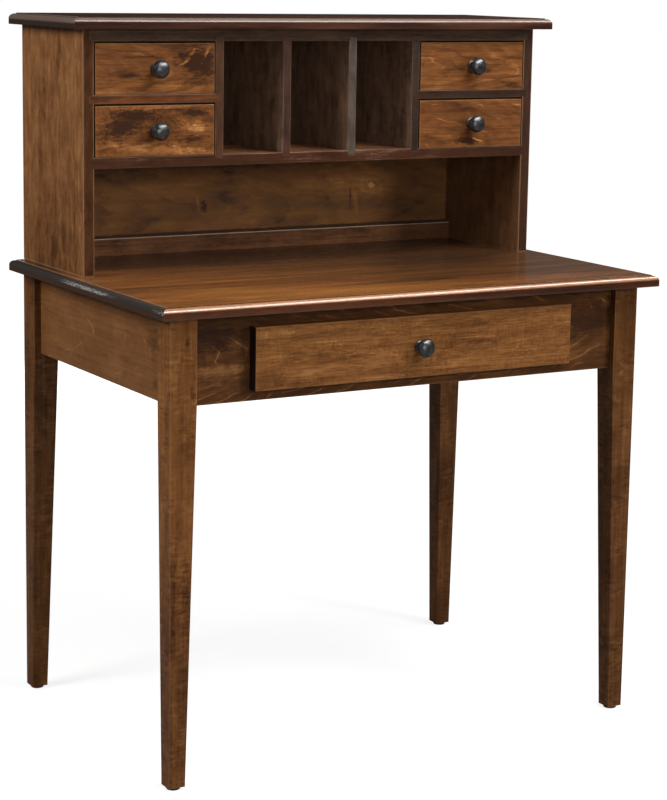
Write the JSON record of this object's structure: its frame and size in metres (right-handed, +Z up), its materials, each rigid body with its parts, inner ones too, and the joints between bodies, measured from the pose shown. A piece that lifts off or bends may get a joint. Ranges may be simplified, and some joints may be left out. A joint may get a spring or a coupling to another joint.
{
  "type": "sewing desk with hutch",
  "caption": "Shaker style writing and sewing desk: tapered legs, moulded-edge top, one wide overlay drawer, and a hutch with open cubbies between small inset drawers.",
  "frame": {"origin": "on the floor, in the middle of the whole width and depth, the wide drawer's knob included", "axes": "+X to the right of a person who sits at the desk, +Y from that person towards the wall, +Z up"},
  "size_m": [0.914, 0.6184, 1.173],
  "materials": {
    "top_maple": "brown stained maple, satin lacquer",
    "leg_maple": "brown stained maple, satin lacquer",
    "apron_maple": "brown stained maple, satin lacquer",
    "side_maple": "brown stained maple, satin lacquer",
    "panel_maple": "brown stained maple, satin lacquer",
    "frame_maple": "dark brown stained maple edges, satin lacquer",
    "drawer_front_maple": "figured maple, lighter brown stain, satin lacquer",
    "drawer_box_maple": "clear lacquered maple",
    "secondary_maple": "planed maple, unfinished",
    "knob_metal": "satin gunmetal",
    "screw_steel": "zinc plated",
    "glide_plastic": "black"
  },
  "bodies": {
    "desk": {"apron_back": "apron_maple", "apron_front": "apron_maple", "apron_left": "apron_maple", "apron_right": "apron_maple", "corner_blocks": "secondary_maple", "desk_top": "top_maple", "drawer_kickers": "secondary_maple", "drawer_runners": "secondary_maple", "drawer_shelf_left": "frame_maple", "drawer_shelf_right": "frame_maple", "foot_glides": "glide_plastic", "hutch_back_panel": "panel_maple", "hutch_back_rail": "frame_maple", "hutch_divider_inner_left": "frame_maple", "hutch_divider_inner_right": "frame_maple", "hutch_divider_outer_left": "frame_maple", "hutch_divider_outer_right": "frame_maple", "hutch_dowels": "secondary_maple", "hutch_inner_top": "frame_maple", "hutch_shelf": "frame_maple", "hutch_side_left": "side_maple", "hutch_side_right": "side_maple", "hutch_top": "top_maple", "leg_back_left": "leg_maple", "leg_back_right": "leg_maple", "leg_front_left": "leg_maple", "leg_front_right": "leg_maple", "top_buttons": "secondary_maple", "wood_screws": "screw_steel"},
    "lower_left_drawer": {"lower_left_drawer_back": "drawer_box_maple", "lower_left_drawer_bottom": "drawer_box_maple", "lower_left_drawer_front": "drawer_front_maple", "lower_left_drawer_knob": "knob_metal", "lower_left_drawer_knob_screw": "screw_steel", "lower_left_drawer_sides": "drawer_box_maple"},
    "lower_right_drawer": {"lower_right_drawer_back": "drawer_box_maple", "lower_right_drawer_bottom": "drawer_box_maple", "lower_right_drawer_front": "drawer_front_maple", "lower_right_drawer_knob": "knob_metal", "lower_right_drawer_knob_screw": "screw_steel", "lower_right_drawer_sides": "drawer_box_maple"},
    "main_drawer": {"main_drawer_back": "drawer_box_maple", "main_drawer_bottom": "drawer_box_maple", "main_drawer_box_front": "drawer_box_maple", "main_drawer_face": "drawer_front_maple", "main_drawer_knob": "knob_metal", "main_drawer_screws": "screw_steel", "main_drawer_sides": "drawer_box_maple"},
    "upper_left_drawer": {"upper_left_drawer_back": "drawer_box_maple", "upper_left_drawer_bottom": "drawer_box_maple", "upper_left_drawer_front": "drawer_front_maple", "upper_left_drawer_knob": "knob_metal", "upper_left_drawer_knob_screw": "screw_steel", "upper_left_drawer_sides": "drawer_box_maple"},
    "upper_right_drawer": {"upper_right_drawer_back": "drawer_box_maple", "upper_right_drawer_bottom": "drawer_box_maple", "upper_right_drawer_front": "drawer_front_maple", "upper_right_drawer_knob": "knob_metal", "upper_right_drawer_knob_screw": "screw_steel", "upper_right_drawer_sides": "drawer_box_maple"}
  },
  "joints": [
    {"name": "main_drawer_slide", "type": "slide", "parent": "desk", "child": "main_drawer", "axis": [0, -1, 0], "range_m": [0, 0.36]},
    {"name": "upper_left_drawer_slide", "type": "slide", "parent": "desk", "child": "upper_left_drawer", "axis": [0, -1, 0], "range_m": [0, 0.18]},
    {"name": "lower_left_drawer_slide", "type": "slide", "parent": "desk", "child": "lower_left_drawer", "axis": [0, -1, 0], "range_m": [0, 0.18]},
    {"name": "upper_right_drawer_slide", "type": "slide", "parent": "desk", "child": "upper_right_drawer", "axis": [0, -1, 0], "range_m": [0, 0.18]},
    {"name": "lower_right_drawer_slide", "type": "slide", "parent": "desk", "child": "lower_right_drawer", "axis": [0, -1, 0], "range_m": [0, 0.18]}
  ]
}
